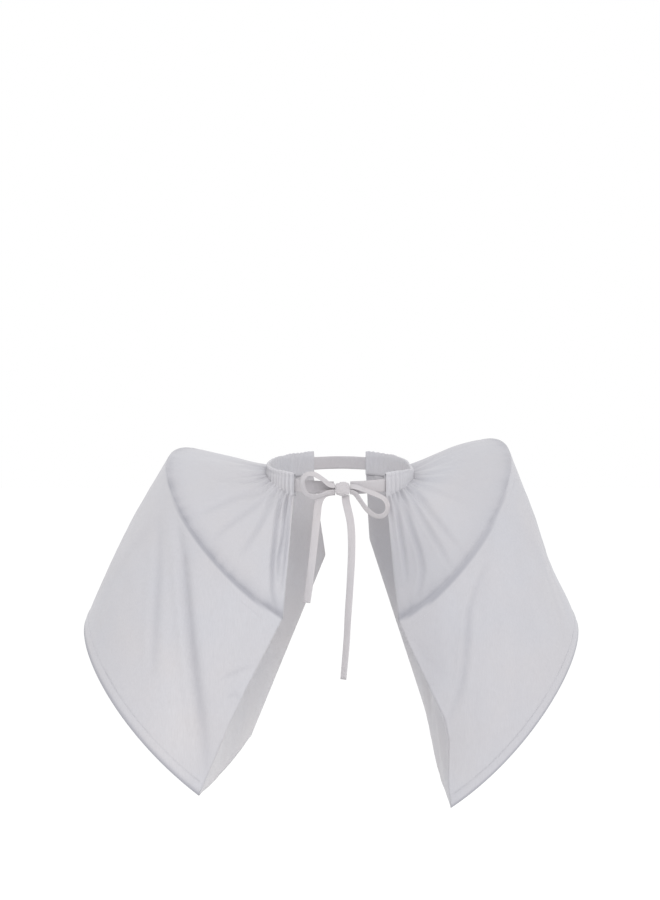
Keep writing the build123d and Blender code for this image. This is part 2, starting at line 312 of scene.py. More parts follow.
class PannierStageSettings(bpy.types.PropertyGroup):
    floor_height: bpy.props.FloatProperty(
        name="Floor height", description="Height of the floor under the waist", default=-1.05,
        min=-3, max=-0.6, unit="LENGTH")
    key_power: bpy.props.FloatProperty(
        name="Key light", description="Power of the large soft light", default=55.0,
        min=0, max=1000, unit="POWER")
    surround: bpy.props.FloatProperty(
        name="Surround", description="Brightness of the white surround", default=1.0,
        min=0, max=3)


def cloth_settings():
    return bpy.context.scene.pannier_cloth


def bow_settings():
    return bpy.context.scene.pannier_bow


# Geometry helpers. Points are numpy arrays in millimetres

def unit(vectors):
    return vectors / np.maximum(np.linalg.norm(vectors, axis=-1, keepdims=True), 1e-9)


def on_side(side, point):
    """Point on the wanted side, from the one on the right side."""
    return np.array([SIDE_SIGN[side], 1, 1]) * point


def distances(path):
    """Distance along a path at each of its points."""
    return np.concatenate([[0], np.cumsum(np.linalg.norm(np.diff(path, axis=0), axis=1))])


def columns_at(wanted, places, values):
    """Values at the wanted places, column by column."""
    return np.stack([np.interp(wanted, places, column) for column in values.T], axis=-1)


def hoop_outline(turn):
    """Share of the reach and of the half chord at a turn from 0, front end, to 1, back end."""
    t = np.where(turn <= 0.5, 2 * turn, 2 - 2 * turn)
    weights = np.stack([(1 - t) ** 3, 3 * t * (1 - t) ** 2, 3 * t ** 2 * (1 - t), t ** 3], axis=-1)
    shape = weights @ np.array(HOOP_SHAPE)
    return shape[..., 0], shape[..., 1] * np.where(turn <= 0.5, 1.0, -1.0)


def seam_ends(side, level):
    """Front end, far end and back end of the hoop line at a level from 0, the ridge, to 1, the hem."""
    upper, hem = (np.array(ends, float) for ends in HOOP_POINTS[side])
    front, far, back = upper + (hem - upper) * level
    front[0] += SIDE_SIGN[side] * np.interp(level, *EDGE_PULL[side])
    return front, far, back


def hoop_line(side, level, turn, inset=0.0):
    """Points of the hoop line at a level and at turns from 0, front end, to 1, back end."""
    front, far, back = seam_ends(side, level)
    middle = (front + back) / 2
    reach, half_chord = far - middle, (front - back) / 2
    along, spread = hoop_outline(turn)
    reach = reach * (1 - inset / np.linalg.norm(reach))
    half_chord = half_chord * (1 - inset / np.linalg.norm(half_chord))
    return middle + along[..., None] * reach + spread[..., None] * half_chord


def even_turns(side, count, level=0.5):
    """Turns that divide the hoop line into equal lengths."""
    fine = np.linspace(0, 1, 2001)
    lengths = distances(hoop_line(side, level, fine))
    return np.interp(np.linspace(0, lengths[-1], count), lengths, fine)


def panel_drop(side):
    """Distance from the ridge to the hem at the far end."""
    upper, hem = (np.array(ends, float) for ends in HOOP_POINTS[side])
    return np.linalg.norm(hem[1] - upper[1])


def ring_point(angle, outward=0.0, height=0.0):
    """Point beside the waist ring: a distance out from the band's middle, and up along its height."""
    x = np.cos(angle) * (WAIST_WIDTH / 2 + outward)
    y = np.sin(angle) * (WAIST_DEPTH / 2 + outward)
    tilt_cos, tilt_sin = math.cos(WAIST_PITCH), math.sin(WAIST_PITCH)
    return np.stack([x, y * tilt_cos - height * tilt_sin, y * tilt_sin + height * tilt_cos], axis=-1)


def ring_angles(side, share):
    """Ring angle at a share of the way from the front opening to the back opening."""
    front, back = math.acos(FRONT_OPENING / WAIST_WIDTH), math.acos(BACK_OPENING / WAIST_WIDTH)
    angle = -front + (front + back) * share
    return angle if side == "right" else math.pi - angle


def grid_normals(grid, outward_from):
    """Unit normals of a grid of points, turned away from a point inside."""
    down = np.gradient(grid, axis=0)
    across = np.gradient(grid, axis=1)
    normals = unit(np.cross(down, across))
    centre = grid - np.array(outward_from)
    if (normals * centre).sum(axis=-1).mean() < 0:
        normals = -normals
    return normals


def smooth_noise(points, scale, seed):
    """Soft noise between about -1 and 1, one value for each point."""
    flat = points.reshape(-1, 3) / scale
    values = np.array([noise.noise(Vector((p[0] + seed, p[1] - seed, p[2]))) for p in flat])
    return values.reshape(points.shape[:-1])


def bump_line(distance, width):
    """Smooth bump: 1 at distance 0, and nearly 0 from two widths away."""
    return np.exp(-(distance / width) ** 2)


def front_share(depth):
    """Share by which a point is on the front: 1 there, and 0 from 20 mm behind the middle."""
    return np.clip((20 - depth) / 60, 0, 1)


def fold_relief(grid, line, width, depth, shoulder, shade, left_spread, right_spread):
    """Displacement and painted shade of a fold along a line seen from the front, on the front half only."""
    flat = grid.reshape(-1, 3)
    points = flat[:, (0, 2)]
    best = np.full(len(points), 1e9)
    beside = np.zeros(len(points))
    reach = np.zeros(len(points))
    line = np.array(line, float)
    before = distances(line)
    for start, end, gone in zip(line, line[1:], before):
        run = end - start
        length = np.linalg.norm(run)
        share = np.clip(((points - start) @ run) / length ** 2, 0, 1)
        offset = points - (start + share[:, None] * run)
        distance = np.linalg.norm(offset, axis=1)
        nearer = distance < best
        best[nearer] = distance[nearer]
        turned = (run[0] * offset[:, 1] - run[1] * offset[:, 0]) / length
        beside[nearer] = turned[nearer]
        reach[nearer] = ((gone + share * length) / before[-1])[nearer]
    fade = np.sin(np.pi * np.clip(reach, 0.02, 0.98)) ** 0.5
    facing = front_share(flat[:, 1])
    beyond = np.clip(1.6 - best / (4 * width), 0, 1)
    towards_right = beside * np.sign(run[1]) < 0
    high = np.where(towards_right, 0.35, 1.0)
    relief = -depth * bump_line(best, width) + shoulder * high * bump_line(best - 1.8 * width, width)
    dark = shade * bump_line(best, np.where(towards_right, right_spread, left_spread))
    shape = grid.shape[:-1]
    return (relief * fade * facing * beyond).reshape(shape), (dark * fade * facing).reshape(shape)


def front_painted_shade(side, grid):
    """Painted shade on the front of a cover, lightened in a few places by painted light."""
    tone = np.full(grid.shape[:-1], BASE_PAINTED_SHADE[side])
    facing = front_share(grid[..., 1])
    for middle, size, share in FRONT_PAINTED_SHADE[side]:
        beside = bump_line(grid[..., 0] - middle[0], size[0])
        tone += share * facing * beside * bump_line(grid[..., 2] - middle[1], size[1])
    return tone


def link(obj):
    bpy.context.scene.collection.objects.link(obj)
    return obj


def grid_mesh(name, grid, attributes=None, closed=False):
    """Mesh object of one sheet of quads from rows of points in millimetres."""
    rows, columns = grid.shape[:2]
    index = np.arange(rows * columns).reshape(rows, columns)
    if closed:
        index = np.concatenate([index, index[:, :1]], axis=1)
    corners = (index[:-1, :-1], index[:-1, 1:], index[1:, 1:], index[1:, :-1])
    quads = np.stack(corners, axis=-1).reshape(-1, 4)
    mesh = bpy.data.meshes.new(name)
    mesh.from_pydata((grid.reshape(-1, 3) * MM).tolist(), [], quads.tolist())
    for key, values in (attributes or {}).items():
        layer = mesh.attributes.new(key, "FLOAT", "POINT")
        layer.data.foreach_set("value", values.reshape(-1).astype(np.float32))
    mesh.shade_smooth()
    mesh.update()
    return link(bpy.data.objects.new(name, mesh))


def give_thickness(obj, thickness, offset=-1.0):
    """Thickness for a sheet: all of it inside for offset -1, half on each side for 0."""
    solid = obj.modifiers.new("Thickness", "SOLIDIFY")
    solid.thickness = thickness
    solid.offset = offset
    solid.use_even_offset = False
    with bpy.context.temp_override(object=obj, active_object=obj, selected_objects=[obj]):
        bpy.ops.object.modifier_apply(modifier=solid.name)
    obj.data.shade_smooth()


def fix_normals(obj, inside):
    """Turns a sheet's faces outwards, so that its thickness goes inside."""
    mesh = obj.data
    inside = Vector(inside) * MM
    facing = sum(poly.normal.dot(poly.center - inside) * poly.area for poly in mesh.polygons)
    if facing < 0:
        mesh.flip_normals()


def close_tube(obj):
    """Joins the first and last rows of a tube, caps its ends and turns its faces outwards."""
    work = bmesh.new()
    work.from_mesh(obj.data)
    bmesh.ops.remove_doubles(work, verts=work.verts, dist=1e-6)
    bmesh.ops.holes_fill(work, edges=[e for e in work.edges if e.is_boundary])
    bmesh.ops.recalc_face_normals(work, faces=work.faces)
    work.to_mesh(obj.data)
    work.free()
    obj.data.shade_smooth()


def dress(obj, material):
    """Material, body and slot of a piece."""
    obj.data.materials.clear()
    obj.data.materials.append(material)
    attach(obj, BODY)


# Materials

def set_inputs(node, inputs):
    """Gives each input of a node its value, or joins it to another node's output."""
    for key, value in inputs.items():
        if isinstance(value, bpy.types.NodeSocket):
            node.id_data.links.new(value, node.inputs[key])
        else:
            node.inputs[key].default_value = value


def node_output(material, kind, output, inputs, **settings):
    """Adds a shader node with its inputs and other settings, and gives the named output."""
    node = material.node_tree.nodes.new("ShaderNode" + kind)
    for key, value in settings.items():
        setattr(node, key, value)
    set_inputs(node, inputs)
    return node.outputs[output]


def new_material(name):
    """Material with nodes, its shader, and the object's coordinates."""
    material = bpy.data.materials.new(name)
    material.use_nodes = True
    shader = material.node_tree.nodes["Principled BSDF"]
    return material, shader, node_output(material, "TexCoord", "Object", {})


def cloth_material(name, colour, threads, weave, shade=None):
    """Plain weave cotton with slubs, faint creases and a soft change of colour over the piece, darkened by
    painted shade where a shade colour is given.
    """
    material, shader, place = new_material(name)
    red, green, blue = colour
    patches = node_output(material, "TexNoise", "Fac", {"Vector": place, "Scale": 9.0, "Detail": 3.0})
    tint = node_output(material, "MixRGB", "Color", {
        "Fac": patches, "Color1": (red * 1.03, green, blue * 0.97, 1),
        "Color2": (red * 0.97, green, blue * 1.03, 1)})
    stretch = node_output(material, "Mapping", "Vector", {"Vector": place, "Scale": (900, 900, 60)})
    slubs = node_output(material, "TexNoise", "Fac", {"Vector": stretch, "Scale": 1.0, "Detail": 2.0})
    base = node_output(material, "MixRGB", "Color", {"Fac": 0.16, "Color1": tint, "Color2": slubs},
                       blend_type="MULTIPLY")
    # Painted shade: the mesh's mask mixes the cloth towards the shade colour
    if shade is not None:
        mask = node_output(material, "Attribute", "Fac", {}, attribute_name="painted_shade")
        base = node_output(material, "MixRGB", "Color", {"Fac": mask, "Color1": base, "Color2": (*shade, 1)})

    waves = [
        node_output(material, "TexWave", "Fac", {
            "Vector": place, "Scale": threads, "Distortion": 1.2, "Detail": 1.0}, bands_direction=way)
        for way in "ZX"]
    woven = node_output(material, "Math", "Value", {0: waves[0], 1: waves[1]}, operation="MULTIPLY")
    creases = node_output(material, "TexNoise", "Fac", {
        "Vector": place, "Scale": 34.0, "Detail": 5.0, "Roughness": 0.6, "Distortion": 0.6})
    creased = node_output(material, "Bump", "Normal", {
        "Height": creases, "Strength": 0.30, "Distance": 0.004})
    normal = node_output(material, "Bump", "Normal", {
        "Height": woven, "Normal": creased, "Strength": weave, "Distance": 0.0003})
    set_inputs(shader, {
        "Base Color": base, "Roughness": 0.92, "Sheen Weight": 0.25, "Sheen Roughness": 0.6,
        "Specular IOR Level": 0.25, "Normal": normal})
    return material


def metal_material(name, colour, rough):
    """Flat spring steel: fine lengthwise scratches and a few duller patches."""
    material, shader, place = new_material(name)
    stretch = node_output(material, "Mapping", "Vector", {"Vector": place, "Scale": (40, 40, 900)})
    scratches = node_output(material, "TexNoise", "Fac", {"Vector": stretch, "Scale": 1.0, "Detail": 4.0})
    patches = node_output(material, "TexNoise", "Fac", {"Vector": place, "Scale": 60.0})
    tint = node_output(material, "MixRGB", "Color", {
        "Fac": patches, "Color1": (*[part * 0.8 for part in colour], 1), "Color2": (*colour, 1)})
    spread = node_output(material, "MapRange", "Result", {
        "Value": scratches, "To Min": rough - 0.08, "To Max": rough + 0.12})
    normal = node_output(material, "Bump", "Normal", {
        "Height": scratches, "Strength": 0.15, "Distance": 0.0002})
    set_inputs(shader, {"Base Color": tint, "Metallic": 1.0, "Roughness": spread, "Normal": normal})
    return material


def stitch_material():
    """Sewing thread with a faint twist."""
    material, shader, place = new_material("Stitching thread")
    twist = node_output(material, "TexNoise", "Fac", {"Vector": place, "Scale": 500.0})
    tint = node_output(material, "MixRGB", "Color", {
        "Fac": twist, "Color1": STITCH_COLOURS[0], "Color2": STITCH_COLOURS[1]})
    set_inputs(shader, {"Base Color": tint, "Roughness": 0.7, "Sheen Weight": 0.3})
    return material


MATERIALS = {}


def material_for(key):
    """Makes each material once, from the settings."""
    if key in MATERIALS:
        return MATERIALS[key]
    cloth, bow = cloth_settings(), bow_settings()
    if key == "cover":
        made = cloth_material("Cover cotton", cloth.cover_colour, 320, 0.35, cloth.painted_shade)
    elif key == "panel":
        made = cloth_material("Panel cotton", cloth.panel_colour, 320, 0.35, cloth.painted_shade)
    elif key == "casing":
        made = cloth_material("Casing cotton", CASING_COLOUR, 380, 0.5)
    elif key == "band":
        made = cloth_material("Band cotton", [part * 1.02 for part in bow.tape_colour], 420, 0.6)
    elif key == "tape":
        made = cloth_material("Tape cotton", bow.tape_colour, 420, 0.6)
    elif key == "stitch":
        made = stitch_material()
    elif key == "steel":
        made = metal_material("Hoop steel", STEEL_COLOUR, 0.38)
    else:
        made = metal_material("Tip metal", TIP_COLOUR, 0.3)
    MATERIALS[key] = made
    return made


# Outer covers

def gather_waves(share, count, seed):
    """Uneven waves along the heading: narrow gathers, and the wider folds that they run into."""
    rng = np.random.default_rng(seed)
    phase = rng.uniform(0, 2 * math.pi, 6)
    round_way = 2 * math.pi * share
    drift = 0.9 * np.sin(2.3 * round_way + phase[0]) + 0.6 * np.sin(5.1 * round_way + phase[1])
    narrow = np.sin(count * round_way + 1.5 * drift)
    middle = np.sin(0.42 * count * round_way + drift + phase[2])
    wide = np.sin(0.19 * count * round_way + 0.8 * drift + phase[3])
    uneven = 0.75 + 0.35 * np.sin(3.7 * round_way + phase[4])
    return narrow * uneven, middle, wide


def crease_profile(height):
    """Shade above the ridge: a sharp lower edge at height 0, and a gradual upper edge."""
    soft = 0.72 * bump_line(height - 5.5, 7.0) + 0.42 * bump_line(height - 5.5, 20.0)
    return np.clip(height / 2.2, 0, 1) * soft


class CoverPlan:
    """What the parts of one outer cover share: its columns, gathers, seams, ridge and crease."""

    def __init__(self, side):
        cloth = cloth_settings()
        self.side = side
        self.share = np.linspace(0, 1, COVER_COLUMNS)
        self.turns = even_turns(side, COVER_COLUMNS)
        self.angles = ring_angles(side, self.share)
        self.narrow, self.middle, self.wide = gather_waves(self.share, cloth.gather_count, GATHER_SEED[side])
        self.hollows = np.clip(-self.narrow, 0, 1)
        self.depth = cloth.gather_depth / MM
        self.strength = cloth.fold_strength
        self.from_seam = np.minimum(self.share, 1 - self.share)
        self.free_of_seam = np.clip(self.from_seam / 0.012, 0, 1)
        self.ridge = hoop_line(side, 0.0, self.turns)
        self.crease_shade = np.interp(self.share, CREASE_SHARES, CREASE_SHADE[side])
        self.crease_fall = np.interp(self.share, CREASE_SHARES, CREASE_FALL[side])


def heading_rows(plan):
    """Gathered heading: inner layer, top edge, and outer layer down to where the cloth leaves."""
    gathers = plan.depth * plan.narrow
    rows = []
    for height in INNER_HEADING:
        cinch = 0.55 + 0.45 * np.cos(height / 13.5 * math.pi / 2) ** 2
        rows.append(ring_point(plan.angles, INNER_LAYER + 0.3 * cinch * gathers, height))
    top = 1 - HEADING_DIP[plan.side] * bump_line(plan.share - 0.44, 0.2)
    for height, out in HEADING_EDGE:
        uneven = 0.5 * plan.wide + 0.35 * plan.narrow
        rows.append(ring_point(plan.angles, out + 0.35 * gathers, height * top + uneven))
    edge_rows = len(rows)
    start = OUTER_HEADING[0] * top
    end = LEAVE_HEIGHT + LEAVE_RISE[plan.side] * np.sin(math.pi * plan.share) ** 1.1
    for part in np.linspace(0, 1, OUTER_HEADING[1]):
        height = start + (end - start) * part
        cinch = bump_line(np.abs(height) - CINCH_HEIGHT, 2.2)
        out = OUTER_LAYER - cinch + gathers * (1 - 0.35 * cinch)
        rows.append(ring_point(plan.angles, out, height))
    shade = np.zeros((len(rows), COVER_COLUMNS))
    # Painted shade in the hollows of the gathers
    shade[edge_rows:] = 0.12 * plan.hollows
    return np.stack(rows), shade


def heading_pleats(plan, grid, gone):
    """Displacement and shade of the pleats that run out of the heading."""
    pleats, dark = np.zeros_like(gone), np.zeros_like(gone)
    for pleat in PLEATS[plan.side]:
        relief, shade = fold_relief(grid, *pleat)
        pleats += relief
        # Painted shade in the pleats
        dark += shade
    for centre, width, depth, length in BACK_PLEATS:
        pleats -= depth * bump_line(plan.share - centre, width) * bump_line(gone, length)
    return pleats, dark


def upper_cloth(plan, waist):
    """Cloth from the heading to the ridge: points, shade and share of the way down."""
    share, shade = plan.share, plan.crease_shade
    steps = np.linspace(0, 1, UPPER_ROWS + 1)[1:] ** 1.05
    down = steps[:, None]
    grid = waist + (plan.ridge - waist) * down[..., None]
    span = np.linalg.norm(plan.ridge - waist, axis=1)
    gone, left_over = down * span, (1 - down) * span
    height, lean = UPPER_SWELL[plan.side]
    swell = height * np.sin(math.pi * down ** lean) * (0.35 + 0.65 * np.sin(math.pi * share) ** 2)
    gathers = (plan.depth * 1.25 * plan.narrow * np.exp(-(gone / 24) ** 1.3)
               + 1.6 * plan.middle * bump_line(gone - 22, 40)
               + 1.3 * plan.wide * bump_line(gone - 70, 70))
    pleats, dark = heading_pleats(plan, grid, gone)
    valley = -2.2 * bump_line(left_over - 4.5, 4.0) * shade
    pucker = 0.7 * np.sin(share * 260 + 3 * np.sin(share * 33)) * bump_line(left_over - 9, 8) * shade
    soft = 0.9 * smooth_noise(grid, 48.0, 7.0) * np.sin(math.pi * down)
    fade = np.clip(left_over / 22, 0, 1) * (0.3 + 0.7 * plan.free_of_seam)
    move = swell + (gathers + pleats * plan.strength) * fade + valley + pucker + soft
    move *= 0.15 + 0.85 * plan.free_of_seam
    move[-1] = 0
    grid = grid + grid_normals(grid, on_side(plan.side, UPPER_INSIDE)) * move[..., None]

    uneven = 1 + 0.16 * np.sin(share * 167 + 2 * np.sin(share * 41)) + 0.12 * np.sin(share * 71)
    # Painted shade in the crease above the ridge
    dark = dark + shade * uneven * crease_profile(left_over + plan.crease_fall)
    # Painted shade in the gathers' hollows, fading below the heading, and the front's painted shade and light
    dark = dark + 0.1 * plan.hollows * np.exp(-gone / 30) + front_painted_shade(plan.side, grid)
    return grid, np.clip(dark, 0, 1), steps


def sewn_lines(plan, below, above_edge, free):
    """Displacement by the rows of stitches, the hem's roll, the ridge and the two seams."""
    from_seam = plan.from_seam * COVER_GIRTH
    relief = 0.6 * bump_line(below - 1.5, 2.2) - 0.6 * bump_line(below - UPPER_STITCHES, 1.6)
    relief += 0.7 * bump_line(below - plan.crease_fall - 1.5, 2.0)
    relief += 0.8 * bump_line(above_edge - 10.5, 5.0) - 0.7 * bump_line(above_edge - HEM_STITCHES, 1.5)
    relief += 0.45 * bump_line(from_seam - 2.5, 2.2) - 0.4 * bump_line(from_seam - 6.5, 1.6)
    puckers = np.sin(below / 2.6 + 1.5 * np.sin(below / 17)) * np.exp(-np.abs(from_seam - 6) / 7)
    return relief + 0.35 * puckers * free


def lower_folds(plan, grid, down, free, shaded):
    """Displacement and shade of the long folds between the ridge and the hem."""
    wave = np.sin(math.pi * down)
    relief, dark = np.zeros_like(free), np.zeros_like(free)
    # Painted shade in the folds' valleys joins the cover's shade mask
    for fold in COVER_FOLDS[plan.side]:
        move, shade = fold_relief(grid, *fold)
        relief += move * free
        dark += shade * shaded
    for centre, width, depth, shade in BACK_FOLDS:
        wander = 0.02 * np.sin(5 * down + centre * 30)
        fold = bump_line(plan.share - centre - wander, width) * wave
        relief -= depth * fold * free
        dark += shade * fold * shaded
    return relief * plan.strength, dark


def lower_cloth(plan):
    """Cloth from the ridge to the hem, then the edge turned up inside: points and shade."""
    side, share, down = plan.side, plan.share, LOWER_LEVELS[:, None]
    grid = np.stack([hoop_line(side, level, plan.turns) for level in LOWER_LEVELS])
    normals = grid_normals(grid, on_side(side, LOWER_INSIDE))
    span = np.linalg.norm(grid[-1] - plan.ridge, axis=1)
    below, above_edge = down * span, (1 - down) * span
    free = np.clip(np.minimum(below - 19, above_edge - 20) / 26, 0, 1) ** 1.2
    shaded = np.clip(np.minimum(below - 4, above_edge - 12) / 22, 0, 1)
    wave = np.sin(math.pi * down)
    stretched = grid * np.array([1.0, 1.0, 0.35])

    relief, dark = lower_folds(plan, grid, down, free, shaded)
    relief += sewn_lines(plan, below, above_edge, free)
    relief += SIDE_BULGE[side] * wave * bump_line(share - 0.5, 0.15)
    hollow = SIDE_HOLLOW[side] * bump_line(down - 0.62, 0.2) * bump_line(share - 0.48, 0.14)
    relief -= hollow * np.clip((above_edge - 22) / 40, 0, 1)
    relief += 1.6 * smooth_noise(stretched, 42.0, 21.0) * wave ** 0.5
    relief += 0.6 * smooth_noise(grid, 16.0, 5.0) * wave ** 0.5
    # Random mottling of the cloth's tone, and the front's painted shade and light
    dark += 0.05 * smooth_noise(stretched, 24.0, 33.0) * wave + front_painted_shade(side, grid)
    # Painted shade of the crease, where it reaches below the hoop line
    dark += plan.crease_shade * crease_profile(plan.crease_fall - below)
    # Painted shade along the hem's lowest edge, and faint painted shade in the groove of the hem's stitching
    dark += bump_line(above_edge, EDGE_SHADE_WIDTH[side]) + 0.10 * bump_line(above_edge - HEM_STITCHES, 1.2)
    grid = grid + normals * (relief * (0.15 + 0.85 * plan.free_of_seam))[..., None]

    way_down = unit(grid[-1] - grid[-4])
    turned = np.stack([grid[-1] - normals[-1] * inward + way_down * drop for inward, drop in HEM_TURN])
    # The edge turned up inside is painted fully in shade
    shade = np.concatenate([np.clip(dark, 0, 1), np.ones(turned.shape[:2])])
    return np.concatenate([grid, turned]), shade


def cover_grid(side):
    """Points of the whole cover, their shade, and its edge: 0 at the heading, 1 ridge, 2 hem."""
    plan = CoverPlan(side)
    heading, heading_shade = heading_rows(plan)
    upper, upper_shade, steps = upper_cloth(plan, heading[-1])
    lower, lower_shade = lower_cloth(plan)
    grid = np.concatenate([heading, upper, lower])
    places = np.concatenate([np.zeros(1), steps, 1 + LOWER_LEVELS])
    first = len(heading) - 1
    edge = grid[first:first + len(places)]
    return grid, np.concatenate([heading_shade, upper_shade, lower_shade]), places, edge


def cover_edges(side, wanted):
    """Front and back edge of the outer cover at the wanted places."""
    _, _, places, edge = cover_grid(side)
    return [columns_at(wanted, places, edge[:, column]) for column in (0, -1)]


def build_cover(side):
    grid, shade, _, _ = cover_grid(side)
    piece = grid_mesh(f"{side}_cover_cloth", grid, {"painted_shade": shade})
    fix_normals(piece, on_side(side, UPPER_INSIDE))
    give_thickness(piece, cloth_settings().cloth_thickness)
    dress(piece, material_for("cover"))
    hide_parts(f"{side}_outer_cover")


# Inner panels

def bowed_line(front, middle, back, share):
    """Curve between two ends, taken in by the seams, that passes through a middle point."""
    inset = unit(back - front) * SEAM_INSET
    front, back = front + inset, back - inset
    crown = middle * 2 - (front + back) / 2
    t = share[:, None]
    return front * (1 - t) ** 2 + crown * 2 * t * (1 - t) + back * t ** 2


def panel_relief(grid, share, steps):
    """Gathers, soft folds and hem of an inner panel."""
    narrow, middle, wide = gather_waves(share, *PANEL_GATHERS)
    gone, from_hem = steps * PANEL_FALL, (1 - steps) * PANEL_HEM_FALL
    gathers = (0.9 * narrow * np.exp(-gone / 18) + 1.6 * middle * np.exp(-gone / 60)
               + 1.8 * wide * bump_line(gone - 120, 160))
    soft = 1.3 * smooth_noise(grid * np.array([1, 1, 0.3]), 40.0, 3.0)
    relief = (gathers + soft) * np.clip(np.minimum(share, 1 - share) / 0.04, 0, 1)
    for centre, width, depth, lean in PANEL_FOLDS:
        relief += depth * bump_line(share - centre - lean * steps, width) * np.sin(math.pi * steps)
    return relief - 0.5 * bump_line(from_hem - 14.0, 1.4) + 0.4 * bump_line(from_hem - 7.0, 4.0)


def panel_grid(side):
    """Rows of points from the band over the hip to the hem, with edges sewn to the cover's."""
    share = np.linspace(0, 1, PANEL_COLUMNS)
    steps = np.linspace(0, 1, PANEL_ROWS)
    upper, hem = (np.array(ends, float) for ends in HOOP_POINTS[side])
    waist = ring_point(ring_angles(side, share), *PANEL_HEADING)
    hip = bowed_line(upper[0], on_side(side, (HIP_HALF, 0.0, HIP_HEIGHT)), upper[2], share)
    low = bowed_line(hem[0], (hem[0] + hem[2]) / 2 - on_side(side, (HEM_SAG, 0, 0)), hem[2], share)
    s, split = steps[:, None, None], HIP_SHARE
    above, under = waist + (hip - waist) * (s / split), hip + (low - hip) * ((s - split) / (1 - split))
    straight = np.where(s < split, above, under)
    curve = (waist * (s - split) * (s - 1) / split + hip * s * (s - 1) / (split * (split - 1))
             + low * s * (s - split) / (1 - split))
    ease = (0.55 * np.sin(math.pi * share) ** 0.8)[:, None]
    grid = straight * (1 - ease) + curve * ease
    relief = panel_relief(grid, share, steps[:, None])
    grid = grid + grid_normals(grid, (0.0, 0.0, -250.0)) * relief[..., None]

    places = np.where(steps < split, steps / split, 1 + (steps - split) / (1 - split))
    front, back = cover_edges(side, places)
    near_front = (np.clip(1 - share / SEWN_SHARE, 0, 1) ** 2)[None, :, None]
    near_back = (np.clip(1 - (1 - share) / SEWN_SHARE, 0, 1) ** 2)[None, :, None]
    return grid + near_front * (front - grid[:, 0])[:, None] + near_back * (back - grid[:, -1])[:, None]


def build_panel(side):
    grid = panel_grid(side)
    across = np.linspace(0, 1, grid.shape[1])[None]
    down = np.linspace(0, 1, grid.shape[0])[:, None]
    even, beside_seam = PANEL_PAINTED_SHADE[side]
    # Painted shade on the panel, strongest beside its front seam
    tone = even + beside_seam * bump_line(across - 0.03, 0.10) * np.sin(math.pi * down) ** 0.5
    piece = grid_mesh(f"{side}_panel_cloth", grid, {"painted_shade": tone})
    fix_normals(piece, on_side(side, BEYOND_PANEL))
    give_thickness(piece, cloth_settings().cloth_thickness, 0.0)
    dress(piece, material_for("panel"))
    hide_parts(f"{side}_inner_panel")


# Casings inside the cover

def casing_grid(side, first, last, gap):
    """Tape casing with a raised channel for the steel, between two distances below the ridge."""
    drop = panel_drop(side)
    level = (first + last) / 2 / drop
    fine = even_turns(side, 2000, level)
    front, far, back = seam_ends(side, level)
    middle, half_chord = (front + back) / 2, (front - back) / 2
    reach = far - middle
    outward = unit(reach - half_chord * (reach @ half_chord) / (half_chord @ half_chord))
    clear = (hoop_line(side, level, fine) - middle) @ outward > gap
    turns = np.interp(np.linspace(0, 1, CASING_COLUMNS), np.linspace(0, 1, clear.sum()), fine[clear])
    rows = []
    for share, inset in CASING_PROFILE:
        rows.append(hoop_line(side, (first + share * (last - first)) / drop, turns, inset))
    return np.stack(rows)


def build_casing(side, name, first, last, gap):
    piece = grid_mesh(f"{side}_{name}_casing_tape", casing_grid(side, first, last, gap))
    close_tube(piece)
    dress(piece, material_for("casing"))
    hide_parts(f"{side}_{name}_casing")


# Stitching

def stitch_grain(start, end, up, first):
    """Points and faces of one stitch: a small grain with pointed ends."""
    side = np.cross(up, unit(end - start))
    points = [start]
    for share in (0.25, 0.75):
        for turn in range(STITCH_SIDES):
            angle = 2 * math.pi * turn / STITCH_SIDES
            around = side * math.cos(angle) + up * math.sin(angle)
            points.append(start + (end - start) * share + around * STITCH_HALF_WIDTH)
    points.append(end)
    faces = []
    low, high = first + 1, first + 1 + STITCH_SIDES
    for k in range(STITCH_SIDES):
        n = (k + 1) % STITCH_SIDES
        faces.append((first, low + n, low + k))
        faces.append((low + k, low + n, high + n, high + k))
        faces.append((high + STITCH_SIDES, high + k, high + n))
    return points, faces


def stitch_row(name, path, normals):
    """A row of raised stitches along a path."""
    distance = distances(path)
    vertices, faces = [], []
    for start in np.arange(2.0, distance[-1] - STITCH_LENGTH - 2.0, STITCH_LENGTH + STITCH_GAP):
        ends = columns_at(np.array([start, start + STITCH_LENGTH]), distance, path)
        up = unit(columns_at(np.array([start + STITCH_LENGTH / 2]), distance, normals)[0])
        new_points, new_faces = stitch_grain(ends[0], ends[1], up, len(vertices))
        vertices += new_points
        faces += new_faces
    mesh = bpy.data.meshes.new(name)
    mesh.from_pydata((np.array(vertices) * MM).tolist(), [], faces)
    mesh.shade_smooth()
    return link(bpy.data.objects.new(name, mesh))


def build_stitching(side):
    turns = even_turns(side, 900)
    inside = on_side(side, LOWER_INSIDE)
    drop = panel_drop(side)
    for name, level in (("hem_top", 1 - HEM_STITCHES / drop), ("upper_casing_low", UPPER_STITCHES / drop)):
        lines = np.stack([hoop_line(side, level + step, turns) for step in (-0.004, 0.0, 0.004)])
        normals = grid_normals(lines, inside)[1]
        path = lines[1] - normals * STITCH_SINK
        piece = stitch_row(f"{side}_{name}_stitches", path[6:-6], normals[6:-6])
        dress(piece, material_for("stitch"))


# Waist band and bow

